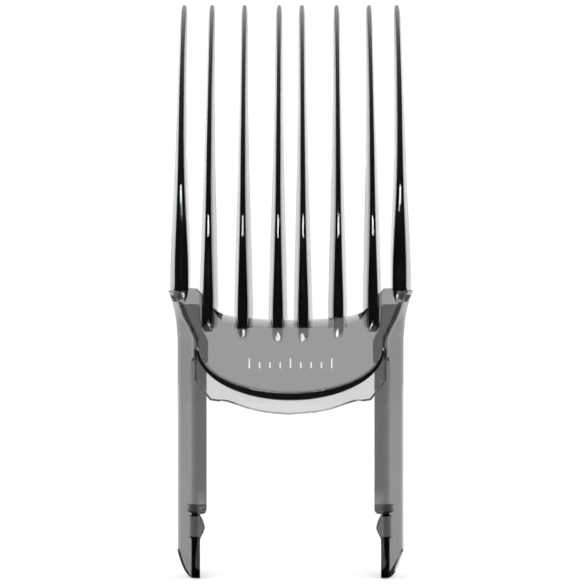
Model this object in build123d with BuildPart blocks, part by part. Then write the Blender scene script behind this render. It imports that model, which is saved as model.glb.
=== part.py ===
from build123d import *
import math
import os

os.makedirs("parts", exist_ok=True)

# Guide comb of a hair clipper: one clear smoke-grey plastic moulding, standing on the ends of its arms.
# All sizes are in millimetres. X runs across the comb, +Z up to the tooth tips, -Y is the front.
# Depths are measured back from the front of the tooth roots, and y() turns them into Y.

# Overall sizes
height = 125.0
depth = 16.5
arm_span = 50.2          # across the outsides of the two arms, at their rear edges

# Hood: the front plate, the rim wall along its lower edge and the lip outside that
plate_front = 1.5
plate_thickness = 1.75
plate_half_width = arm_span / 2 - 5.4
plate_corner_z = 49.65   # where the sides turn into the rounded lower edge
plate_drop = 9.5         # from there down to the lowest point of the plate
plate_top_z = 55.85      # top edge between the two middle teeth
ear_top_z = 62.6         # top of the two ears under the outer teeth
rim_thickness = 1.5
rim_end_thickness = 0.4
rim_depth = 8.0
lip_front = 1.8
lip_thickness = 0.7
lip_half_width = plate_half_width + 0.8
lip_bottom_z = 35.5

# Teeth
tooth_depth = 9.0        # front to back at the roots
outer_tooth_x = plate_half_width + 3.55
tooth_sweep = 14.0       # how far back the tips lie behind the roots
tooth_knee_z = 72.6      # the noses are upright up to here and curve back above
outer_knee_z = 81.5      # the same for the two outer teeth
tooth_heel_z = 54.15     # the part of a tooth behind the plate ends here
tooth_foot_slope = 2.6   # height over which a front foot runs out into the plate's face

# Snap arms
arm_front = 6.5
arm_slant = 22.0         # degrees by which the side walls open towards the back
arm_wall = 1.4
arm_top_radius = 10.0
web_bottom_z = 47.5      # above this the side wall also runs forward to the plate
web_pad = 1.6            # thickening of the plate's back beside each web
flange_width = 2.9
flange_thickness = 3.1
flange_end_z = 13.8
flange_end_radius = 0.9
stop_depth = 2.2         # the lower end of each flange is thicker by this much, over this height
stop_height = 1.7
flex_z = 38.0            # the arms bend below this height
tongue_top_z = 13.2
foot_rise = 5.0          # how much higher the rear corner of a tongue ends than its front
bump_height = 1.0
bump_low_z = 8.3
bump_peak_z = 10.4
bump_width = 4.2


def y(depth_back):
    return depth_back - depth / 2


plate_back = plate_front + plate_thickness
slant = math.tan(math.radians(arm_slant))
wall_across = arm_wall / math.cos(math.radians(arm_slant))


def arm_outer(depth_back):
    return arm_span / 2 - (depth - depth_back) * slant


def slanted_strip(side, front, back, front_x, back_x):
    """Corners of a stretch of an arm's side wall seen from above, from its front to its back depth."""
    return [
        (side * front_x, y(front)),
        (side * back_x, y(back)),
        (side * (back_x - wall_across), y(back)),
        (side * (front_x - wall_across), y(front)),
    ]


def arm_strip(side):
    return slanted_strip(side, arm_front, depth, arm_outer(arm_front), arm_outer(depth))


# Front plate, a half disc with two ears
with BuildPart() as face_plate:
    with BuildSketch(Plane.XZ.offset(-y(plate_front))):
        with BuildLine():
            EllipticalCenterArc(
                (0, plate_corner_z), plate_half_width, plate_drop, start_angle=180, arc_size=180
            )
            for side in (1, -1):
                flank = Spline(
                    (side * plate_half_width, plate_corner_z),
                    (side * (plate_half_width + 1.4), plate_corner_z + 3.55),
                    (side * (plate_half_width + 3.1), plate_corner_z + 6.65),
                    (side * (plate_half_width + 5.3), ear_top_z),
                )
                top = Line(flank @ 1, (side * (plate_half_width + 0.3), ear_top_z))
                Spline(
                    top @ 1,
                    (side * (plate_half_width - 2.1), ear_top_z - 2.6),
                    (side * (plate_half_width - 5.1), plate_top_z + 1.3),
                    (0, plate_top_z),
                    tangents=((-side, 0), (-side, 0)),
                )
        make_face()
    extrude(amount=-plate_thickness)
face_plate.part.label = "face_plate"
export_step(face_plate.part, "parts/face_plate.step")

# Rim wall: a crescent along the plate's lower edge that runs back towards the clipper
rim_half_width = plate_half_width + rim_end_thickness
rim_drop = plate_drop + rim_thickness
with BuildPart() as rim_wall:
    with BuildSketch(Plane.XZ.offset(-y(plate_front))):
        with Locations((0, plate_corner_z)):
            Ellipse(rim_half_width, rim_drop)
            Ellipse(plate_half_width, plate_drop, mode=Mode.SUBTRACT)
            Rectangle(3 * rim_half_width, 3 * rim_drop, align=(Align.CENTER, Align.MIN), mode=Mode.SUBTRACT)
    extrude(amount=-rim_depth)
rim_wall.part.label = "rim_wall"
export_step(rim_wall.part, "parts/rim_wall.step")

# Lip: the thin apron below and beside the rim wall
with BuildPart() as lip:
    with BuildSketch(Plane.XZ.offset(-y(lip_front))):
        with BuildLine():
            bottom_half = lip_half_width - 7.1
            bottom = ThreePointArc(
                (-bottom_half, lip_bottom_z + 2.75), (0, lip_bottom_z), (bottom_half, lip_bottom_z + 2.75)
            )
            for side, start in ((1, bottom @ 1), (-1, bottom @ 0)):
                Polyline(
                    start,
                    (side * (lip_half_width - 3.3), lip_bottom_z + 3.0),
                    (side * lip_half_width, lip_bottom_z + 7.3),
                    (side * lip_half_width, plate_corner_z),
                )
            Line((-lip_half_width, plate_corner_z), (lip_half_width, plate_corner_z))
        make_face()
        with Locations((0, plate_corner_z)):
            Ellipse(rim_half_width, rim_drop, mode=Mode.SUBTRACT)
    extrude(amount=-lip_thickness)
lip.part.label = "lip"
export_step(lip.part, "parts/lip.step")

# Webs: above the rim each arm's side wall also runs forward to the back of the plate, which is thickened
# beside it, and it flares out towards its top to stand flush under the outer tooth
# height below the top of the ears: outward shift at the plate, at the arm's front and at the arm's back
flare = (
    (ear_top_z - web_bottom_z, 0.0, 0.0, 0.0),
    (11.6, 0.0, 0.0, 0.0),
    (9.4, 0.7, 0.7, 0.1),
    (7.2, 1.9, 1.8, 0.35),
    (4.7, 3.0, 2.9, 0.9),
    (2.3, 4.0, 3.8, 1.8),
    (0.0, 4.6, 4.4, 2.5),
)
web_front_x = lip_half_width - 0.3
webs = {}
for side, name in ((-1, "left"), (1, "right")):
    with BuildPart() as web:
        for below, at_plate, at_arm, at_back in flare:
            with BuildSketch(Plane.XY.offset(ear_top_z - below)):
                with BuildLine():
                    strip = slanted_strip(
                        side, plate_back, arm_front, web_front_x + at_plate, arm_outer(arm_front) + at_arm
                    )
                    Polyline(*strip, close=True)
                make_face()
        loft(ruled=True)
        with BuildSketch(Plane.XZ.offset(-y(plate_back))):
            with BuildLine():
                Polyline(
                    (side * (web_front_x - 2.5), web_bottom_z - 0.9),
                    (side * (web_front_x - 1.7), web_bottom_z - 0.9),
                    (side * (web_front_x - 0.6), plate_corner_z),
                    (side * (web_front_x - 0.3), ear_top_z - 11.6),
                    (side * (web_front_x + 0.4), ear_top_z - 9.4),
                    (side * (web_front_x + 1.7), ear_top_z - 7.2),
                    (side * (web_front_x + 2.8), ear_top_z - 4.7),
                    (side * (web_front_x + 3.3), ear_top_z - 3.4),
                    (side * (web_front_x - 0.8), ear_top_z - 3.4),
                    (side * (web_front_x - 0.9), ear_top_z - 6.8),
                    (side * (web_front_x - 1.4), ear_top_z - 9.0),
                    (side * (web_front_x - 2.6), ear_top_z - 11.1),
                    close=True,
                )
            make_face()
        extrude(amount=-web_pad)
        add(rim_wall.part, mode=Mode.SUBTRACT)
    webs[name] = web.part
    web.part.label = f"gusset_{name}"
    export_step(web.part, f"parts/gusset_{name}.step")

# Teeth. A tooth is a fin with a narrow rounded nose in front, wider at the back. It stands astride the
# plate's top edge, rises straight to the knee and curves back from there to its tip.
def nose_depth(z, knee_z):
    if z <= knee_z:
        return 0.0
    radius = ((height - knee_z) ** 2 + tooth_sweep**2) / (2 * tooth_sweep)
    return radius - math.sqrt(radius**2 - (z - knee_z) ** 2)


# fraction of the height from the foot to the tip: nose width, back width, depth front to back
inner_profile = (
    (0.000, 2.10, 4.20, 1.00),
    (0.095, 2.16, 4.20, 1.00),
    (0.180, 1.84, 3.88, 1.00),
    (0.270, 1.48, 3.58, 1.00),
    (0.410, 1.10, 2.98, 0.93),
    (0.550, 0.97, 2.43, 0.80),
    (0.700, 0.83, 1.95, 0.67),
    (0.830, 0.78, 1.72, 0.51),
    (0.955, 0.72, 1.52, 0.28),
    (1.000, 0.50, 0.90, 0.20),
)
outer_profile = (
    (0.000, 2.95, 4.50, 1.00),
    (0.111, 2.92, 4.53, 1.00),
    (0.207, 2.50, 4.19, 1.00),
    (0.365, 1.61, 3.22, 0.93),
    (0.522, 1.15, 2.55, 0.80),
    (0.685, 1.01, 2.10, 0.67),
    (0.828, 0.84, 1.78, 0.51),
    (0.957, 0.76, 1.55, 0.28),
    (1.000, 0.52, 0.90, 0.20),
)
# distance from the middle at the root as a share of the outer tooth's, outward shift of the tip, outward
# splay of the back, height of the foot in front of the plate, height where the fin ends behind it, height
# of the knee
teeth = (
    (0.118, -0.25, 0.0, 51.0, tooth_heel_z, tooth_knee_z, inner_profile),
    (0.439, -0.05, 0.0, 51.8, tooth_heel_z, tooth_knee_z, inner_profile),
    (0.757, -0.30, 0.2, 53.3, tooth_heel_z, tooth_knee_z, inner_profile),
    (1.000, 0.20, 0.7, 59.7, ear_top_z, outer_knee_z, outer_profile),
)
for side in (-1, 1):
    for index, (place, tip_shift, splay, foot_z, heel_z, knee_z, profile) in enumerate(teeth):
        number = 4 - index if side < 0 else 5 + index
        with BuildPart() as tooth:
            for share, nose_width, back_width, deep in profile:
                z = foot_z + share * (height - foot_z)
                x = side * (place * outer_tooth_x + share * tip_shift)
                back_x = x + side * splay * (1 - share)
                front = nose_depth(z, knee_z)
                back = front + deep * tooth_depth
                with BuildSketch(Plane.XY.offset(z)):
                    with BuildLine():
                        nose = ThreePointArc(
                            (x - nose_width / 2, y(front + nose_width / 3)),
                            (x, y(front)),
                            (x + nose_width / 2, y(front + nose_width / 3)),
                        )
                        Polyline(
                            nose @ 1,
                            (back_x + back_width / 2, y(back)),
                            (back_x - back_width / 2, y(back)),
                            nose @ 0,
                        )
                    make_face()
            loft()
            add(face_plate.part, mode=Mode.SUBTRACT)
            add(webs["left" if side < 0 else "right"], mode=Mode.SUBTRACT)
            with Locations((0, y(plate_back), heel_z)):
                Box(
                    4 * lip_half_width, depth, height,
                    align=(Align.CENTER, Align.MIN, Align.MAX), mode=Mode.SUBTRACT,
                )
            with BuildSketch(Plane.YZ.offset(-2 * lip_half_width)):
                with BuildLine():
                    Polyline(
                        (y(-1), foot_z - 1),
                        (y(-1), foot_z + tooth_foot_slope),
                        (y(0), foot_z + tooth_foot_slope),
                        (y(0.8 * plate_front), foot_z),
                        (y(0.8 * plate_front), foot_z - 1),
                        close=True,
                    )
                make_face()
            extrude(amount=4 * lip_half_width, mode=Mode.SUBTRACT)
        tooth.part.label = f"tooth_{number}"
        export_step(tooth.part, f"parts/tooth_{number}.step")

# Shoulders: the stiff upper part of each arm, the side wall behind the web with a flange along its front
flange_inner = arm_outer(arm_front) - flange_width
flange_back = arm_front + flange_thickness
arm_inner_front = arm_outer(arm_front) - wall_across
flange_corners = (
    (flange_inner, y(arm_front)),
    (arm_inner_front, y(arm_front)),
    (arm_inner_front + flange_thickness * slant, y(flange_back)),
    (flange_inner, y(flange_back)),
)
for side, name in ((-1, "left"), (1, "right")):
    with BuildPart() as shoulder:
        for below, at_plate, at_arm, at_back in ((ear_top_z - flex_z, 0.0, 0.0, 0.0),) + flare[1:]:
            with BuildSketch(Plane.XY.offset(ear_top_z - below)):
                with BuildLine():
                    strip = slanted_strip(
                        side, arm_front, depth, arm_outer(arm_front) + at_arm, arm_outer(depth) + at_back
                    )
                    Polyline(*strip, close=True)
                make_face()
        loft(ruled=True)
        with BuildSketch(Plane.YZ.offset(-2 * lip_half_width)):
            with BuildLine():
                edge = ThreePointArc(
                    (y(depth), ear_top_z - arm_top_radius),
                    (y(depth - 0.293 * (depth - tooth_depth)), ear_top_z - 0.36 * arm_top_radius),
                    (y(tooth_depth), ear_top_z),
                )
                Polyline(edge @ 1, (y(depth), ear_top_z), edge @ 0)
            make_face()
        extrude(amount=4 * lip_half_width, mode=Mode.SUBTRACT)
        with BuildSketch(Plane.XY.offset(flex_z)):
            with BuildLine():
                Polyline(*[(side * x, v) for x, v in flange_corners], close=True)
            make_face()
        extrude(amount=plate_corner_z - flex_z)
        with BuildSketch(Plane.XZ.offset(-y(arm_front))):
            with Locations((0, plate_corner_z)):
                Ellipse(rim_half_width, rim_drop)
        extrude(amount=-(rim_depth + plate_front - arm_front), mode=Mode.SUBTRACT)
    shoulder.part.label = f"shoulder_{name}"
    export_step(shoulder.part, f"parts/shoulder_{name}.step")

# Snap arms below the shoulders: side wall, front flange, and the tongue with its detent bump
for side, name in ((-1, "left"), (1, "right")):
    with BuildPart() as wall:
        with BuildSketch(Plane.XY.offset(tongue_top_z)):
            with BuildLine():
                Polyline(*arm_strip(side), close=True)
            make_face()
        extrude(amount=flex_z - tongue_top_z)
    wall.part.label = f"arm_wall_{name}"
    export_step(wall.part, f"parts/arm_wall_{name}.step")

    with BuildPart() as flange:
        with BuildSketch(Plane.XY.offset(flange_end_z)):
            with BuildLine():
                Polyline(*[(side * x, v) for x, v in flange_corners], close=True)
            make_face()
        extrude(amount=flex_z - flange_end_z)
        stop_back = flange_back + stop_depth
        with BuildSketch(Plane.XY.offset(flange_end_z)):
            with BuildLine():
                Polyline(
                    (side * flange_inner, y(flange_back)),
                    (side * (arm_inner_front + flange_thickness * slant), y(flange_back)),
                    (side * (arm_inner_front + (stop_back - arm_front) * slant), y(stop_back)),
                    (side * flange_inner, y(stop_back)),
                    close=True,
                )
            make_face()
        extrude(amount=stop_height)
        lowest = flange.edges().filter_by(Axis.Y).group_by(Axis.Z)[0]
        fillet(lowest.sort_by(Axis.X)[-1 if side < 0 else 0], flange_end_radius)
    flange.part.label = f"flange_{name}"
    export_step(flange.part, f"parts/flange_{name}.step")

    with BuildPart() as tongue:
        with BuildSketch(Plane.XY):
            with BuildLine():
                Polyline(*arm_strip(side), close=True)
            make_face()
        extrude(amount=tongue_top_z)
        with BuildSketch(Plane.YZ.offset(-2 * lip_half_width)):
            with BuildLine():
                sole = ThreePointArc(
                    (y(arm_front), 0), (y(depth - 3.5), 0.33 * foot_rise), (y(depth), foot_rise)
                )
                Polyline(sole @ 1, (y(depth), -1), (y(arm_front), -1), sole @ 0)
            make_face()
        extrude(amount=4 * lip_half_width, mode=Mode.SUBTRACT)
    tongue.part.label = f"tongue_{name}"
    export_step(tongue.part, f"parts/tongue_{name}.step")

    bump_root_x = arm_inner_front + bump_width * slant + 0.1
    with BuildPart() as bump:
        with BuildSketch(Plane.XZ.offset(-y(arm_front))):
            with BuildLine():
                Polyline(
                    (side * bump_root_x, tongue_top_z),
                    (side * arm_inner_front, tongue_top_z),
                    (side * (arm_inner_front - 0.68 * bump_height), bump_peak_z + 1.4),
                    (side * (arm_inner_front - bump_height), bump_peak_z + 0.15),
                    (side * (arm_inner_front - bump_height), bump_peak_z - 0.15),
                    (side * arm_inner_front, bump_low_z),
                    (side * bump_root_x, bump_low_z),
                    close=True,
                )
            make_face()
        extrude(amount=-bump_width)
        with BuildSketch(Plane.XY):
            with BuildLine():
                Polyline(
                    (side * arm_inner_front, y(arm_front)),
                    (side * (arm_inner_front + bump_width * slant), y(arm_front + bump_width)),
                    (side * arm_span, y(arm_front + bump_width)),
                    (side * arm_span, y(arm_front)),
                    close=True,
                )
            make_face()
        extrude(amount=2 * tongue_top_z, mode=Mode.SUBTRACT)
    bump.part.label = f"bump_{name}"
    export_step(bump.part, f"parts/bump_{name}.step")
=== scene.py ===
import bmesh
import bpy
import math
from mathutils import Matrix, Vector


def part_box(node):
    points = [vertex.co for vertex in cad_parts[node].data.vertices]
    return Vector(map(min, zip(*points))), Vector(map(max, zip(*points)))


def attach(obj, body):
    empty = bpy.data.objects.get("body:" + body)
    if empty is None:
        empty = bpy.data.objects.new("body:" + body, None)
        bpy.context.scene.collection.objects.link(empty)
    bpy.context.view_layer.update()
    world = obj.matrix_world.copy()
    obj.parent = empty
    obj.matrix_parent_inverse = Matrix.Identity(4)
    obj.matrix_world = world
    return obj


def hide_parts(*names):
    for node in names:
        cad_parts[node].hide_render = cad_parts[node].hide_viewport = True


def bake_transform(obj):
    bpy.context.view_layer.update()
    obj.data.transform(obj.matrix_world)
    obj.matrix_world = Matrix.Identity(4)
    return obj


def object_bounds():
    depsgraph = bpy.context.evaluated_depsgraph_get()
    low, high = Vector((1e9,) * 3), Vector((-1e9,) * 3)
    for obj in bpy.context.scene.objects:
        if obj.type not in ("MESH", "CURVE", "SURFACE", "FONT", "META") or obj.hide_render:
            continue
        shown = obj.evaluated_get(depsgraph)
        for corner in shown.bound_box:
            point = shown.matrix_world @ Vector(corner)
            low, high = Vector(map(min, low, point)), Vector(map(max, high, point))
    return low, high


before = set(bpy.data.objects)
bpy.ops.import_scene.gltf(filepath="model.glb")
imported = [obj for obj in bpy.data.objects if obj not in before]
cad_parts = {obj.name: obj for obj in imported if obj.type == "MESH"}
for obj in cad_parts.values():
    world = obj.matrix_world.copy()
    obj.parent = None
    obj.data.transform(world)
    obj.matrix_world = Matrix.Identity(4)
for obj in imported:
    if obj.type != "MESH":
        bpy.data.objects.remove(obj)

cad_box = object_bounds()
mm = 0.001

# ---------------------------------------------------------------- the plastic
# The whole comb is moulded in one clear smoke-grey plastic with polished walls. Thin walls let most of the
# light through and deep ones look black, because the tint takes up light all along its path inside.
# Faint flow waves and fine rubbing marks from use keep the polish from being perfect.
TINT_PER_METRE = 645.0


def smoke_plastic():
    material = bpy.data.materials.new("smoke_plastic")
    material.use_nodes = True
    nodes, links = material.node_tree.nodes, material.node_tree.links
    shader = nodes["Principled BSDF"]
    shader.inputs["Base Color"].default_value = (1, 1, 1, 1)
    shader.inputs["Transmission Weight"].default_value = 1.0
    shader.inputs["IOR"].default_value = 1.47
    place = nodes.new("ShaderNodeTexCoord")
    waves = nodes.new("ShaderNodeTexNoise")
    waves.inputs["Scale"].default_value = 160
    waves.inputs["Detail"].default_value = 2
    rubbed = nodes.new("ShaderNodeTexNoise")
    rubbed.inputs["Scale"].default_value = 900
    rubbed.inputs["Detail"].default_value = 4
    stretch = nodes.new("ShaderNodeMapping")
    stretch.inputs["Scale"].default_value = (1.0, 1.0, 0.12)
    gloss = nodes.new("ShaderNodeMapRange")
    gloss.inputs["From Min"].default_value = 0.35
    gloss.inputs["From Max"].default_value = 0.75
    gloss.inputs["To Min"].default_value = 0.02
    gloss.inputs["To Max"].default_value = 0.09
    uneven = nodes.new("ShaderNodeBump")
    uneven.inputs["Strength"].default_value = 0.06
    uneven.inputs["Distance"].default_value = 0.0002
    links.new(place.outputs["Object"], waves.inputs["Vector"])
    links.new(place.outputs["Object"], stretch.inputs["Vector"])
    links.new(stretch.outputs["Vector"], rubbed.inputs["Vector"])
    links.new(rubbed.outputs["Fac"], gloss.inputs["Value"])
    links.new(gloss.outputs["Result"], shader.inputs["Roughness"])
    links.new(waves.outputs["Fac"], uneven.inputs["Height"])
    links.new(uneven.outputs["Normal"], shader.inputs["Normal"])
    tint = nodes.new("ShaderNodeVolumeAbsorption")
    tint.inputs["Color"].default_value = (0, 0, 0, 1)
    tint.inputs["Density"].default_value = TINT_PER_METRE
    links.new(tint.outputs["Volume"], nodes["Material Output"].inputs["Volume"])
    return material


plastic = smoke_plastic()


def rounded(corners, radius, steps=3):
    """The corners of an outline, each turned into a small arc of steps + 1 points."""
    points = []
    for i, corner in enumerate(corners):
        here = Vector(corner)
        before, after = Vector(corners[i - 1]) - here, Vector(corners[(i + 1) % len(corners)]) - here
        reach = min(radius, 0.45 * before.length, 0.45 * after.length)
        a, b = here + before.normalized() * reach, here + after.normalized() * reach
        for k in range(steps + 1):
            t = k / steps
            points.append(a * (1 - t) ** 2 + here * 2 * t * (1 - t) + b * t * t)
    return points


def close_up(bm):
    bmesh.ops.remove_doubles(bm, verts=bm.verts, dist=1e-6)
    bmesh.ops.holes_fill(bm, edges=[e for e in bm.edges if e.is_boundary], sides=0)
    bmesh.ops.recalc_face_normals(bm, faces=bm.faces)


def finished(bm, name):
    mesh = bpy.data.meshes.new(name)
    bm.to_mesh(mesh)
    bm.free()
    piece = bpy.data.objects.new(name, mesh)
    bpy.context.scene.collection.objects.link(piece)
    return piece


def lofted(name, rings):
    """A closed solid through rings of points, all with the same number of points."""
    bm = bmesh.new()
    bmesh.ops.create_grid(bm, x_segments=len(rings) - 1, y_segments=len(rings[0]), size=0.5)
    for v in bm.verts:
        ring = round((v.co.x + 0.5) * (len(rings) - 1))
        point = round((v.co.y + 0.5) * len(rings[0])) % len(rings[0])
        v.co = rings[ring][point]
    close_up(bm)
    return finished(bm, name)


def slab(name, outline, front, back, edge):
    """A flat wall with the given outline in x and z, from front to back in y, its long edges eased."""
    bm = bmesh.new()
    face = bm.faces.new([bm.verts.new((x, front, z)) for x, z in outline])
    grown = bmesh.ops.extrude_face_region(bm, geom=[face])
    moved = [g for g in grown["geom"] if isinstance(g, bmesh.types.BMVert)]
    bmesh.ops.translate(bm, verts=moved, vec=(0, back - front, 0))
    bmesh.ops.recalc_face_normals(bm, faces=bm.faces)
    rims = [e for e in bm.edges if abs(e.verts[0].co.y - e.verts[1].co.y) < 1e-7]
    bmesh.ops.bevel(bm, geom=rims, offset=edge, segments=2, profile=0.5, affect="EDGES", material=-1)
    return finished(bm, name)


def fused(name, solids):
    """One closed solid out of several that overlap, with its curved walls shaded smooth."""
    whole = solids[0]
    for other in solids[1:]:
        join = whole.modifiers.new("join", "BOOLEAN")
        join.operation, join.solver, join.object = "UNION", "EXACT", other
    bpy.context.view_layer.update()
    evaluated = whole.evaluated_get(bpy.context.evaluated_depsgraph_get())
    mesh = bpy.data.meshes.new_from_object(evaluated)
    for solid in solids:
        bpy.data.objects.remove(solid)
    bm = bmesh.new()
    bm.from_mesh(mesh)
    bmesh.ops.remove_doubles(bm, verts=bm.verts, dist=2e-6)
    bmesh.ops.triangulate(bm, faces=[f for f in bm.faces if len(f.verts) > 4])
    bmesh.ops.dissolve_degenerate(bm, dist=5e-7, edges=bm.edges)
    # two faces back to back on the same corners enclose nothing, and whatever is still open is filled
    same_corners = {}
    for face in bm.faces:
        same_corners.setdefault(frozenset(face.verts), []).append(face)
    flaps = [face for faces in same_corners.values() if len(faces) > 1 for face in faces]
    bmesh.ops.delete(bm, geom=flaps, context="FACES")
    bmesh.ops.holes_fill(bm, edges=[e for e in bm.edges if e.is_boundary], sides=0)
    bm.normal_update()
    for face in bm.faces:
        face.smooth = abs(face.normal.y) < 0.9998
    for edge in bm.edges:
        edge.smooth = not edge.is_manifold or edge.calc_face_angle(0) < math.radians(28)
    bm.to_mesh(mesh)
    bm.free()
    mesh.validate()
    mesh.materials.clear()
    mesh.materials.append(plastic)
    mesh.name = name
    piece = bpy.data.objects.new(name, mesh)
    bpy.context.scene.collection.objects.link(piece)
    return piece


# ---------------------------------------------------------------- front plate
# The plate that carries the teeth: a half disc 1.75 mm thick with an ear at each top corner, under the
# outer teeth. It is part of the one moulding; its edges are eased and its top edge is thinned in front.
plate_low, plate_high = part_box("face_plate")
rim_low, rim_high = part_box("rim_wall")
corner_z = rim_high.z
plate_half = 19.7 * mm
plate_drop = corner_z - plate_low.z
ear_top, ear_half = plate_high.z, plate_high.x
EDGE_EASE = 0.3 * mm
# how far in from its corner the middle of a rounded edge lies, as a share of its size
MIDWAY = 0.29


def smooth_through(points, steps=6):
    """A smooth line through a few points."""
    line = []
    ends = [points[0]] + list(points) + [points[-1]]
    for p0, p1, p2, p3 in zip(ends, ends[1:], ends[2:], ends[3:]):
        for k in range(steps):
            t = k / steps
            line.append(tuple(
                0.5 * (2 * b + (c - a) * t + (2 * a - 5 * b + 4 * c - d) * t * t
                       + (3 * b - a - 3 * c + d) * t ** 3)
                for a, b, c, d in zip(p0, p1, p2, p3)
            ))
    return line + [tuple(points[-1])]


def along(line, at):
    """The other values of a line of rows at one value of the first."""
    upper = next((i for i, row in enumerate(line) if row[0] >= at), len(line) - 1)
    p, q = line[max(upper - 1, 0)], line[upper]
    t = 0 if q[0] == p[0] else min(1, (at - p[0]) / (q[0] - p[0]))
    return [m + (n - m) * t for m, n in zip(p[1:], q[1:])]


ear = smooth_through([
    (plate_half, corner_z), (plate_half + 1.4 * mm, corner_z + 3.55 * mm),
    (plate_half + 3.1 * mm, corner_z + 6.65 * mm), (ear_half, ear_top),
])
cradle = smooth_through([
    (0, ear_top - 6.75 * mm), (7.0 * mm, ear_top - 6.5 * mm), (14.6 * mm, ear_top - 5.45 * mm),
    (17.6 * mm, ear_top - 2.6 * mm), (plate_half + 0.3 * mm, ear_top),
])
columns = [plate_half * math.sin(math.pi / 2 * k / 40) for k in range(41)]
columns += [plate_half + (ear_half - 0.1 * mm - plate_half) * k / 16 for k in range(1, 17)]
front, back = plate_low.y, plate_high.y
rings = []
for x in [-c for c in columns[:0:-1]] + columns:
    out = abs(x)
    base = corner_z - plate_drop * math.sqrt(max(0, 1 - (out / plate_half) ** 2))
    if out > plate_half:
        base = along(ear, out)[0]
    top = along(cradle, out)[0]
    ease = min(EDGE_EASE, (top - base) / 5)
    low = ease if out > plate_half else 0.1 * mm
    middle_part = min(1, max(0, (17.0 * mm - out) / (2.5 * mm)))
    thinned, run = ease + 0.75 * mm * middle_part, ease + 1.3 * mm * middle_part
    rings.append([Vector((x, at_y, at_z)) for at_y, at_z in (
        (front, base + low), (front + MIDWAY * low, base + MIDWAY * low), (front + low, base),
        (back - low, base), (back - MIDWAY * low, base + MIDWAY * low), (back, base + low),
        (back, top - ease), (back - MIDWAY * ease, top - MIDWAY * ease), (back - ease, top),
        (front + thinned + 0.1 * mm, top), (front + 0.62 * thinned, top - 0.3 * run),
        (front + 0.25 * thinned, top - 0.65 * run), (front, top - run),
    )])
plate = lofted("plate", rings)

# ---------------------------------------------------------------- rim wall and lip
# A crescent wall runs back from the plate's lower edge and stiffens it; outside it a thin apron, the lip,
# reaches down and sideways in front of the arms. Both grow out of the plate in the same shot of plastic.
lip_low, lip_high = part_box("lip")


def arc_points(half_width, drop, steps, low, high):
    """Points along a half ellipse below the plate's corners, from the left end to the right."""
    angles = [low + (high - low) * k / steps for k in range(steps + 1)]
    return [(-half_width * math.cos(a), corner_z - drop * math.sin(a)) for a in angles]


rim_drop = corner_z - rim_low.z
RIM_ROOT = 0.16 * mm
front, back, ease = rim_low.y + 0.02 * mm, rim_high.y, 0.12
rings = []
for k in range(1, 80):
    a = math.pi * k / 80
    inner = Vector((
        -(plate_half - RIM_ROOT) * math.cos(a), corner_z - (plate_drop - RIM_ROOT) * math.sin(a),
    ))
    outer = Vector((-rim_high.x * math.cos(a), corner_z - rim_drop * math.sin(a)))
    ring = []
    for at, y in (
        (0, front), (1 - ease, front), (1, front + ease * mm), (1, back - ease * mm), (1 - ease, back),
        (ease, back), (0, back - ease * mm),
    ):
        spot = inner.lerp(outer, at)
        ring.append(Vector((spot.x, y, spot.y)))
    rings.append(ring)
rim = lofted("rim", rings)
skirt = [
    (0.0, lip_low.z),
    (6.8 * mm, lip_low.z + 0.7 * mm),
    (13.4 * mm, lip_low.z + 2.75 * mm),
    (15.4 * mm, lip_low.z + 2.9 * mm),
    (17.2 * mm, lip_low.z + 3.15 * mm),
    (lip_high.x, lip_low.z + 7.3 * mm),
]
skirt_right = smooth_through(skirt[:5], 4) + [skirt[5], (lip_high.x, lip_high.z)]
inside = arc_points(rim_high.x - 0.2 * mm, rim_drop - 0.3 * mm, 40, 0.03, math.pi - 0.03)
lip = slab(
    "lip",
    [(-x, z) for x, z in skirt_right[::-1]][:-1] + skirt_right
    + [(rim_high.x - 0.1 * mm, lip_high.z)] + inside[::-1] + [(-rim_high.x + 0.1 * mm, lip_high.z)],
    lip_low.y, lip_high.y, 0.15 * mm,
)

# its free edge is turned back into a fine bead, deeper towards the arms
BEAD = 0.2 * mm
SUNK = 0.02 * mm
edge = skirt_right[:-1] + [(lip_high.x, lip_high.z - 0.2 * mm)]
hem = [(-x, z) for x, z in edge[:0:-1]] + edge
bead_rings = []
for k, (x, z) in enumerate(hem):
    before, after = Vector(hem[max(k - 1, 0)]), Vector(hem[min(k + 1, len(hem) - 1)])
    inward = Vector((before.y - after.y, after.x - before.x)).normalized()
    deep = 0.6 * mm + 0.7 * mm * min(1, abs(x) / (17 * mm)) ** 3
    ring = []
    for j in range(16):
        a = 2 * math.pi * j / 16
        reach = SUNK + BEAD * (1 - math.cos(a))
        y = lip_low.y + SUNK + deep * (1 + math.sin(a))
        ring.append(Vector((x + inward.x * reach, y, z + inward.y * reach)))
    bead_rings.append(ring)
bead = lofted("bead", bead_rings)

# ---------------------------------------------------------------- teeth
# Eight long fins that lift the hair off the skin. Each is a wedge with a narrow rounded nose in front and a
# wider back, straight up to the knee and curved back from there to a blunt tip. The foot of each runs out on
# the plate's face; the two outer ones stand on the ears.
nose_y = cad_box[0].y
tip_z = cad_box[1].z
SWEEP, DEEP = 14 * mm, 9 * mm
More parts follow.
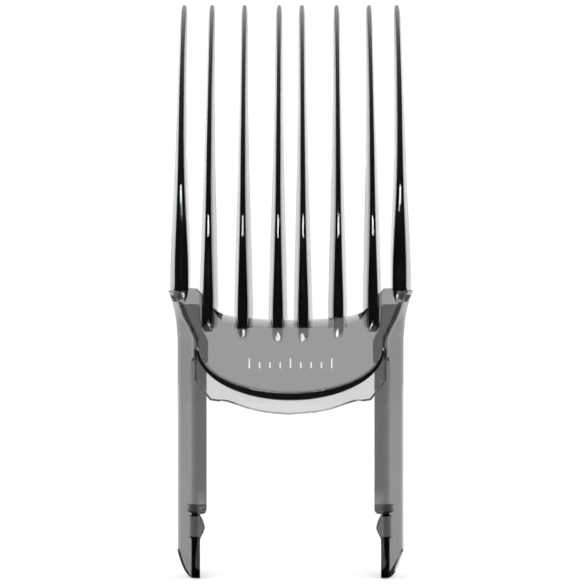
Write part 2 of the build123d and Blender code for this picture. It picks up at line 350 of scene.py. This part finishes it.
# share of the height, nose width, back width in mm, share of the full depth
INNER = [
    (0.000, 2.10, 4.20, 1.00),
    (0.095, 2.16, 4.20, 1.00),
    (0.180, 1.84, 3.88, 1.00),
    (0.270, 1.48, 3.58, 1.00),
    (0.410, 1.10, 2.98, 0.93),
    (0.550, 0.97, 2.43, 0.80),
    (0.700, 0.83, 1.95, 0.67),
    (0.830, 0.78, 1.72, 0.51),
    (0.955, 0.72, 1.52, 0.28),
    (1.000, 0.60, 1.20, 0.22),
]
OUTER = [
    (0.000, 2.95, 4.50, 1.00),
    (0.111, 2.92, 4.53, 1.00),
    (0.207, 2.50, 4.19, 1.00),
    (0.365, 1.61, 3.22, 0.93),
    (0.522, 1.15, 2.55, 0.80),
    (0.685, 1.01, 2.10, 0.67),
    (0.828, 0.84, 1.78, 0.51),
    (0.957, 0.76, 1.55, 0.28),
    (1.000, 0.62, 1.22, 0.22),
]
# middle of the root and of the tip, outward splay of the back and height of the knee in mm, profile
PLACES = [
    (2.75, 2.50, 0.0, 72.6, INNER), (10.20, 10.15, 0.0, 72.6, INNER),
    (17.60, 17.30, 0.2, 72.6, INNER), (23.25, 23.45, 0.7, 81.5, OUTER),
]


def nose_back(z, knee_z):
    """How far the nose lies behind its root at a height."""
    radius = ((tip_z - knee_z) ** 2 + SWEEP ** 2) / (2 * SWEEP)
    return 0.0 if z <= knee_z else radius - math.sqrt(radius ** 2 - (z - knee_z) ** 2)


def fin_ring(middle, back_middle, nose, back, front_y, back_y, z):
    """One level cut through a tooth: a half-round nose, straight flanks and a back with eased corners."""
    ring = []
    half, rise = nose / 2, min(0.55 * nose, 0.4 * (back_y - front_y))
    for k in range(9):
        a = math.pi * (k / 8 - 0.5)
        ring.append(Vector((middle + half * math.sin(a), front_y + rise * (1 - math.cos(a)), z)))
    right, left = Vector((back_middle + back / 2, back_y, z)), Vector((back_middle - back / 2, back_y, z))
    ease = min(0.3 * mm, back / 5, (back_y - front_y) / 6)
    for corner, toward, away in ((right, ring[8], left), (left, right, ring[0])):
        a = corner + (toward - corner).normalized() * ease
        b = corner + (away - corner).normalized() * ease
        ring += [a, corner * 0.5 + (a + b) * 0.25, b]
    return ring


solids = [plate, rim, lip, bead]
FOOT_RUN_OUT = 2.6 * mm
INNER_HEEL, OUTER_HEEL = 54.15 * mm, ear_top - 0.4 * mm
for number in range(1, 9):
    side = -1 if number < 5 else 1
    root_x, tip_x, splay, knee, profile = PLACES[4 - number if side < 0 else number - 5]
    profile_line = smooth_through(profile, 12)
    low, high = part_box(f"tooth_{number}")
    heel_z = OUTER_HEEL if profile is OUTER else INNER_HEEL
    rings = []
    shares = [k / 48 for k in range(49)]
    heel_share = (heel_z - low.z) / (high.z - low.z)
    for share in sorted(shares + [heel_share - 0.0004, heel_share + 0.0004]):
        z = low.z + share * (high.z - low.z)
        nose, back, deep = along(profile_line, share)
        middle = side * (root_x + share * (tip_x - root_x)) * mm
        back_middle = middle + side * splay * (1 - share) * mm
        front_y = nose_y + nose_back(z, knee * mm)
        rings.append(fin_ring(middle, back_middle, nose * mm, back * mm, front_y, front_y + deep * DEEP, z))
    # a blunt rounded end closes the tip
    centre = sum(rings[-1], Vector()) / len(rings[-1])
    rings += [[centre + (p - centre) * shrink for p in rings[-1]] for shrink in (0.8, 0.45)]
    for ring, drop in zip(rings[-3:], (0.45, 0.12, 0.0)):
        for p in ring:
            p.z = high.z - drop * mm
    # in front of the plate the nose runs out to its foot; behind the plate the fin ends at its heel
    for ring in rings:
        for p in ring:
            if p.z < heel_z:
                p.y = min(p.y, plate_low.y + 0.6 * mm)
            t = (low.z + FOOT_RUN_OUT - p.z) / FOOT_RUN_OUT
            if t > 0:
                outward = side * p.x - root_x * mm
                p.y = max(p.y, nose_y + 1.35 * mm * t ** 1.6 + 0.12 * outward * t)
                p.x = side * root_x * mm + (p.x - side * root_x * mm) * (1 - 0.45 * t * t)
    solids.append(lofted(f"fin_{number}", rings))

# beside each arm the back of the plate is thicker: its outline in mm, outward from the web and below the
# top of the ears
PAD = [
    (-2.5, 16.0), (-1.7, 16.0), (-0.6, 12.95), (-0.3, 11.6), (0.4, 9.4), (1.7, 7.2),
    (2.8, 4.7), (3.3, 3.4), (-0.8, 3.4), (-0.9, 6.8), (-1.4, 9.0), (-2.6, 11.1),
]
web_x = lip_high.x - 0.3 * mm
for side in (-1, 1):
    outline = rounded([(side * (web_x + x * mm), ear_top - below * mm) for x, below in PAD], 0.8 * mm, 3)
    solids.append(slab(
        "pad", [(p.x, p.y) for p in outline], plate_high.y - 0.2 * mm, plate_high.y + 1.6 * mm, 0.15 * mm,
    ))

hood = fused("hood_and_teeth", solids)
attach(hood, "comb")
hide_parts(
    "face_plate", "rim_wall", "lip", *(f"tooth_{number}" for number in range(1, 9)),
)

# ---------------------------------------------------------------- snap arms
# Each arm is a slanted side wall with an inward flange along its front edge, and ends in a tongue with a
# detent bump on its inner side. Above the rim the wall also runs forward to the plate and flares out under
# the outer tooth. The one piece follows the hood above and is built straight, at rest, below the rim.
SLANT = math.tan(math.radians(22))
ACROSS = 1.4 * mm / math.cos(math.radians(22))
SOLE_RISE = 5.0 * mm
TONGUE_END = 6.2 * mm
# height below the top of the ears: outward shift at the plate, at the arm's front and at the arm's back
FLARE = smooth_through([
    (0.0, 4.6, 4.4, 2.5),
    (2.3, 4.0, 3.8, 1.8),
    (4.7, 3.0, 2.9, 0.9),
    (7.2, 1.9, 1.8, 0.35),
    (9.4, 0.7, 0.7, 0.1),
    (11.6, 0.0, 0.0, 0.0),
    (70.0, 0.0, 0.0, 0.0),
])
REAR_EASE = 0.3 * mm
# the web thins to this share of the wall at its front edge, over this run
WEB_EDGE = 0.12
WEB_TAPER = 3.6 * mm
LOWER_LEVELS = (0, 1.5, 3, 4.5, 6.2, 10, 14, 20, 26, 30, 34, 38, 42, 45.5)
SOLE_LEVELS = 5
for side, name in ((-1, "left"), (1, "right")):
    wall_low, wall_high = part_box(f"arm_wall_{name}")
    shoulder_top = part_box(f"shoulder_{name}")[1].z
    flange_low, flange_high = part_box(f"flange_{name}")
    bump_low, bump_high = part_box(f"bump_{name}")
    outer_x = max(abs(wall_low.x), abs(wall_high.x))
    front, back = wall_low.y, wall_high.y
    front_x = outer_x - (back - front) * SLANT

    def outside(y, z):
        """How far out the wall's outer face lies at a depth and height."""
        at_plate, at_arm, at_back = along(FLARE, (ear_top - z) / mm)
        if y < front:
            t = (front - y) / (front - plate_high.y)
            out = front_x + at_arm * mm + (web_x + at_plate * mm - front_x - at_arm * mm) * t
        else:
            t = (y - front) / (back - front)
            out = front_x + at_arm * mm + (outer_x + at_back * mm - front_x - at_arm * mm) * t
        return min(out, cad_box[1].x)

    def wall_ring(z, from_y, to_y, front_round):
        """The wall's cut at a height, with a well rounded outer front edge and eased other edges."""
        outer_line, inner_line = [], []
        length = to_y - from_y
        with_web = from_y < front - mm
        for k in range(22):
            if k < 6:
                s = front_round * (1 - math.cos(math.pi / 2 * k / 5))
            elif k > 16:
                s = length - REAR_EASE * (1 - math.cos(math.pi / 2 * (21 - k) / 4))
            else:
                s = front_round + (length - front_round - REAR_EASE) * (k - 5) / 11
            front_inset = 0.0
            if s < front_round and not with_web:
                front_inset = front_round - math.sqrt(front_round ** 2 - (front_round - s) ** 2)
            rear = max(0.0, s - length + REAR_EASE)
            rear_inset = REAR_EASE - math.sqrt(max(0.0, REAR_EASE ** 2 - rear ** 2))
            across = ACROSS
            if with_web:
                across *= WEB_EDGE + (1 - WEB_EDGE) * min(1.0, s / WEB_TAPER)
            x = outside(from_y + s, z)
            outer_line.append(Vector((side * (x - (front_inset + rear_inset)), from_y + s, z)))
            inner_line.append(Vector((side * (x - across + min(rear_inset, 0.4 * across)), from_y + s, z)))
        return outer_line + inner_line[::-1]

    levels = [(z * mm, front, back, 0.95 * mm) for z in LOWER_LEVELS]
    web_front = plate_high.y - 0.1 * mm
    levels += [(46.9 * mm, front, back, 0.9 * mm), (47.9 * mm, web_front, back, 0.3 * mm)]
    levels += [(z * mm, web_front, back, 0.25 * mm) for z in (49.6, 51, 52)]
    for k in range(1, 11):
        a = math.pi / 2 * k / 10
        levels.append((
            shoulder_top - 10 * mm + 9.7 * mm * math.sin(a), web_front,
            back - 7.2 * mm * (1 - math.cos(a)), 0.25 * mm,
        ))
    rings = [wall_ring(*level) for level in levels]
    # the sole rises towards the back
    for ring in rings[:SOLE_LEVELS]:
        for p in ring:
            sole = SOLE_RISE * max(0, (p.y - front) / (back - front)) ** 2.6
            p.z = sole + p.z * (TONGUE_END - sole) / TONGUE_END
    side_wall = lofted("side_wall", rings)

    flange_inner = min(abs(flange_low.x), abs(flange_high.x))
    flange_round = 0.9 * mm
    flange_front, flange_back = flange_low.y + 0.03 * mm, flange_low.y + 3.1 * mm
    corners = [
        (side * flange_inner, flange_front), (side * (front_x - 0.9 * mm), flange_front),
        (side * (outside(flange_back, 0.02) - 0.5 * ACROSS), flange_back),
        (side * flange_inner, flange_back),
    ]
    flange_rings = []
    for k in range(7):
        a = math.pi / 2 * k / 6
        ring = [
            Vector((p.x, p.y, flange_low.z + flange_round * (1 - math.sin(a))))
            for p in rounded(corners, 0.25 * mm, 3)
        ]
        for p in ring:
            room = abs(p.x) - flange_inner
            p.x += side * flange_round * (1 - math.cos(a)) * max(0.0, 1 - room / (2.2 * mm))
        flange_rings.insert(0, ring)
    for z in (16, 18, 22, 26, 30, 34, 38, 42):
        flange_rings.append([Vector((p.x, p.y, z * mm)) for p in rounded(corners, 0.25 * mm, 3)])
    # its top follows the underside of the rim wall
    top = [Vector((p.x, p.y, 0)) for p in rounded(corners, 0.25 * mm, 3)]
    for p in top:
        under = corner_z - rim_drop * math.sqrt(1 - min(abs(p.x) / rim_high.x, 0.999) ** 2)
        p.z = min(under, corner_z - 1.4 * mm) - 0.05 * mm
    flange_rings.append(top)
    flange = lofted("flange", flange_rings)
    # the flange's lower end is thicker
    stop_rings = []
    for z, inset in ((0.0, 0.5), (0.15, 0.25), (0.5, 0.05), (0.9, 0.0), (1.5, 0.0), (1.7, 0.2)):
        corners = [
            (side * (flange_inner + inset * mm), flange_low.y + 1.5 * mm),
            (side * (outside(flange_low.y + 1.5 * mm, 0.02) - 0.6 * ACROSS), flange_low.y + 1.5 * mm),
            (side * (outside(flange_high.y - 0.2 * mm, 0.02) - 0.6 * ACROSS), flange_high.y - inset * mm),
            (side * (flange_inner + inset * mm), flange_high.y - inset * mm),
        ]
        stop_rings.append([Vector((p.x, p.y, flange_low.z + z * mm)) for p in rounded(corners, 0.3 * mm, 3)])
    stop = lofted("stop", stop_rings)

    face_x = front_x - ACROSS
    bump_tip = min(abs(bump_low.x), abs(bump_high.x))
    peak = bump_low.z + 2.1 * mm
    bump_rings = []
    for y, inset in (
        (bump_low.y + 0.02 * mm, 0.2 * mm),
        (bump_low.y + 0.08 * mm, 0.06 * mm),
        (bump_low.y + 0.25 * mm, 0.0),
        (bump_high.y - 0.3 * mm, 0.0),
        (bump_high.y, 0.25 * mm),
    ):
        wall_x = face_x + (y - front) * SLANT
        outline = [
            (wall_x + 0.7 * mm, bump_high.z - inset), (max(face_x, face_x + inset), bump_high.z - inset),
            (face_x - 0.68 * (face_x - bump_tip) + inset, peak + 1.4 * mm), (bump_tip + inset, peak),
            (face_x + inset, bump_low.z + inset), (wall_x + 0.7 * mm, bump_low.z + inset),
        ]
        bump_rings.append([Vector((side * p.x, y, p.y)) for p in rounded(outline, 0.35 * mm, 3)])
    bump = lofted("bump", bump_rings)
    arm = fused(f"snap_arm_{name}", [side_wall, flange, stop, bump])
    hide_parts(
        f"gusset_{name}", f"shoulder_{name}", f"arm_wall_{name}", f"flange_{name}",
        f"tongue_{name}", f"bump_{name}",
    )
    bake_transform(arm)

# ---------------------------------------------------------------- length marks
# A short row of plain raised strokes in the middle of the plate, pale and matt, where a comb of this kind
# says how long it leaves the hair. They are generic strokes, not lettering.
def mark_material():
    material = bpy.data.materials.new("pale_marks")
    material.use_nodes = True
    nodes, links = material.node_tree.nodes, material.node_tree.links
    shader = nodes["Principled BSDF"]
    place = nodes.new("ShaderNodeTexCoord")
    speckle = nodes.new("ShaderNodeTexNoise")
    speckle.inputs["Scale"].default_value = 2500
    tone = nodes.new("ShaderNodeValToRGB")
    tone.color_ramp.elements[0].color = (0.33, 0.33, 0.33, 1)
    tone.color_ramp.elements[1].color = (0.52, 0.52, 0.52, 1)
    rough = nodes.new("ShaderNodeMapRange")
    rough.inputs["To Min"].default_value = 0.45
    rough.inputs["To Max"].default_value = 0.7
    grain = nodes.new("ShaderNodeBump")
    grain.inputs["Strength"].default_value = 0.15
    grain.inputs["Distance"].default_value = 0.00005
    links.new(place.outputs["Object"], speckle.inputs["Vector"])
    links.new(speckle.outputs["Fac"], tone.inputs["Fac"])
    links.new(tone.outputs["Color"], shader.inputs["Base Color"])
    links.new(speckle.outputs["Fac"], rough.inputs["Value"])
    links.new(rough.outputs["Result"], shader.inputs["Roughness"])
    links.new(speckle.outputs["Fac"], grain.inputs["Height"])
    links.new(grain.outputs["Normal"], shader.inputs["Normal"])
    return material


MARKS_FOOT_Z = 45.55 * mm
LONG_STROKE, SHORT_STROKE = 2.1 * mm, 1.3 * mm
STROKE_GAP = 2.2 * mm
STROKE_WIDTH, STROKE_DEPTH = 0.34 * mm, 0.16 * mm
# the strokes' backs stand this far in front of the plate's face
STROKE_CLEAR = 0.005 * mm
bm = bmesh.new()
for k in range(-4, 5):
    tall = LONG_STROKE if k % 4 == 0 else SHORT_STROKE
    stroke = bmesh.ops.create_cube(bm, size=1.0)["verts"]
    bmesh.ops.scale(bm, verts=stroke, vec=(STROKE_WIDTH, STROKE_DEPTH, tall))
    middle_y = plate_low.y - STROKE_CLEAR - STROKE_DEPTH / 2
    bmesh.ops.translate(bm, verts=stroke, vec=(k * STROKE_GAP, middle_y, MARKS_FOOT_Z + tall / 2))
bmesh.ops.bevel(bm, geom=bm.edges[:], offset=0.05 * mm, segments=2, profile=0.5, affect="EDGES", material=-1)
marks = finished(bm, "length_marks")
marks.data.materials.append(mark_material())
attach(marks, "comb")

# ---------------------------------------------------------------- studio
# A pale floor and a white surround. Seen through the walls, the surround is bright ahead and behind and
# greyer to the sides; mirrored in them, it is bright behind the comb and dark in front. A long narrow light
# high in front and two cards lying low in front put the glints on the noses and on their feet.
def flat_panel(name, wide, long, place):
    bm = bmesh.new()
    bmesh.ops.create_grid(bm, x_segments=1, y_segments=1, size=0.5)
    bmesh.ops.scale(bm, verts=bm.verts, vec=(wide, long, 1))
    panel = finished(bm, name)
    panel.location = place
    return panel


floor = flat_panel("floor", 1.2, 1.3, (0, 0, -0.0002))
paper = bpy.data.materials.new("paper_floor")
paper.use_nodes = True
paper_shader = paper.node_tree.nodes["Principled BSDF"]
paper_shader.inputs["Base Color"].default_value = (0.97, 0.97, 0.97, 1)
paper_shader.inputs["Roughness"].default_value = 0.9
paper_shader.inputs["Specular IOR Level"].default_value = 0.0
paper_shader.inputs["Emission Color"].default_value = (1, 1, 1, 1)
paper_shader.inputs["Emission Strength"].default_value = 0.08
floor.data.materials.append(paper)
# the walls mirror the dark room in front of them, not the floor
floor.visible_glossy = False


def reflected_card(name, wide, long, place, strength):
    """A glowing card that shows only as a reflection."""
    card = flat_panel(name, wide, long, place)
    glow = bpy.data.materials.new(name)
    glow.use_nodes = True
    glow_shader = glow.node_tree.nodes["Principled BSDF"]
    glow_shader.inputs["Base Color"].default_value = (0, 0, 0, 1)
    glow_shader.inputs["Emission Color"].default_value = (1, 1, 1, 1)
    glow_shader.inputs["Emission Strength"].default_value = strength
    card.data.materials.append(glow)
    card.visible_camera = card.visible_diffuse = card.visible_transmission = card.visible_shadow = False


reflected_card("table_front", 0.08, 0.16, (0, nose_y - 0.083, 0.0004), 1.0)
reflected_card("glint_card", 0.038, 0.06, (0, nose_y - 0.055, 0.001), 18.0)

world = bpy.data.worlds.new("surround")
bpy.context.scene.world = world
world.use_nodes = True
nodes, links = world.node_tree.nodes, world.node_tree.links
BRIGHT = 1.08


def world_maths(operation, *values):
    """The result of a maths node on numbers or on other nodes' outputs."""
    node = nodes.new("ShaderNodeMath")
    node.operation = operation
    for socket, value in zip(node.inputs, values):
        if isinstance(value, float):
            socket.default_value = value
        else:
            links.new(value, socket)
    return node.outputs["Value"]


def world_ramp(value, stops):
    """Brightness against a direction, through (position, brightness) stops."""
    ramp = nodes.new("ShaderNodeValToRGB")
    while len(ramp.color_ramp.elements) < len(stops):
        ramp.color_ramp.elements.new(0.5)
    for element, (position, grey) in zip(ramp.color_ramp.elements, stops):
        element.position, element.color = position, (grey, grey, grey, 1)
    links.new(value, ramp.inputs["Fac"])
    return ramp.outputs["Color"]


white = nodes["Background"]
white.inputs["Color"].default_value = (1, 1, 1, 1)
white.inputs["Strength"].default_value = BRIGHT
place = nodes.new("ShaderNodeTexCoord")
apart = nodes.new("ShaderNodeSeparateXYZ")
links.new(place.outputs["Generated"], apart.inputs["Vector"])
ray = nodes.new("ShaderNodeLightPath")
# through the walls: bright ahead and behind, greyer to the sides
through = nodes.new("ShaderNodeBackground")
through.inputs["Strength"].default_value = BRIGHT
links.new(
    world_ramp(world_maths("ABSOLUTE", apart.outputs["Y"]), ((0.0, 0.12), (0.45, 0.3), (0.85, 1.0))),
    through.inputs["Color"],
)
# mirrored: bright behind the comb, nearly dark in front of it
mirrored = nodes.new("ShaderNodeBackground")
mirrored.inputs["Strength"].default_value = BRIGHT
half_turn = world_maths("MULTIPLY_ADD", apart.outputs["Y"], 0.5, 0.5)
links.new(
    world_ramp(half_turn, ((0.0, 0.02), (0.85, 0.06), (0.95, 0.45), (1.0, 1.0))), mirrored.inputs["Color"],
)
bent = nodes.new("ShaderNodeMixShader")
links.new(ray.outputs["Is Transmission Ray"], bent.inputs["Fac"])
links.new(mirrored.outputs["Background"], bent.inputs[1])
links.new(through.outputs["Background"], bent.inputs[2])
choose = nodes.new("ShaderNodeMixShader")
links.new(
    world_maths("MAXIMUM", ray.outputs["Is Glossy Ray"], ray.outputs["Is Transmission Ray"]),
    choose.inputs["Fac"],
)
links.new(white.outputs["Background"], choose.inputs[1])
links.new(bent.outputs["Shader"], choose.inputs[2])
links.new(choose.outputs["Shader"], nodes["World Output"].inputs["Surface"])

light_data = bpy.data.lights.new("high_front", "AREA")
light_data.shape, light_data.size, light_data.size_y = "RECTANGLE", 1.2, 0.094
light_data.energy = 9.0
light = bpy.data.objects.new("high_front", light_data)
light.location = (0.03, -1.0, 0.178)
light_aim = Vector((0, 0, 0.075))
light.rotation_euler = (light_aim - light.location).to_track_quat("-Z", "Y").to_euler()
bpy.context.scene.collection.objects.link(light)

# ---------------------------------------------------------------- camera
# Straight on from the front, at about half the comb's height.
SHOT_DISTANCE = 0.400
SHOT_SIDEWAYS, SHOT_HEIGHT = 0.32 * mm, 61.8 * mm
WIDTH_AT_COMB = 124.1 * mm
camera_data = bpy.data.cameras.new("camera")
camera_data.sensor_width = 36
camera_data.lens = 36 * SHOT_DISTANCE / WIDTH_AT_COMB
camera = bpy.data.objects.new("camera", camera_data)
camera.location = (SHOT_SIDEWAYS, nose_y - SHOT_DISTANCE, SHOT_HEIGHT)
camera.rotation_euler = (math.radians(90), 0, 0)
bpy.context.scene.collection.objects.link(camera)
bpy.context.scene.camera = camera
bpy.context.scene.view_settings.view_transform = "Standard"
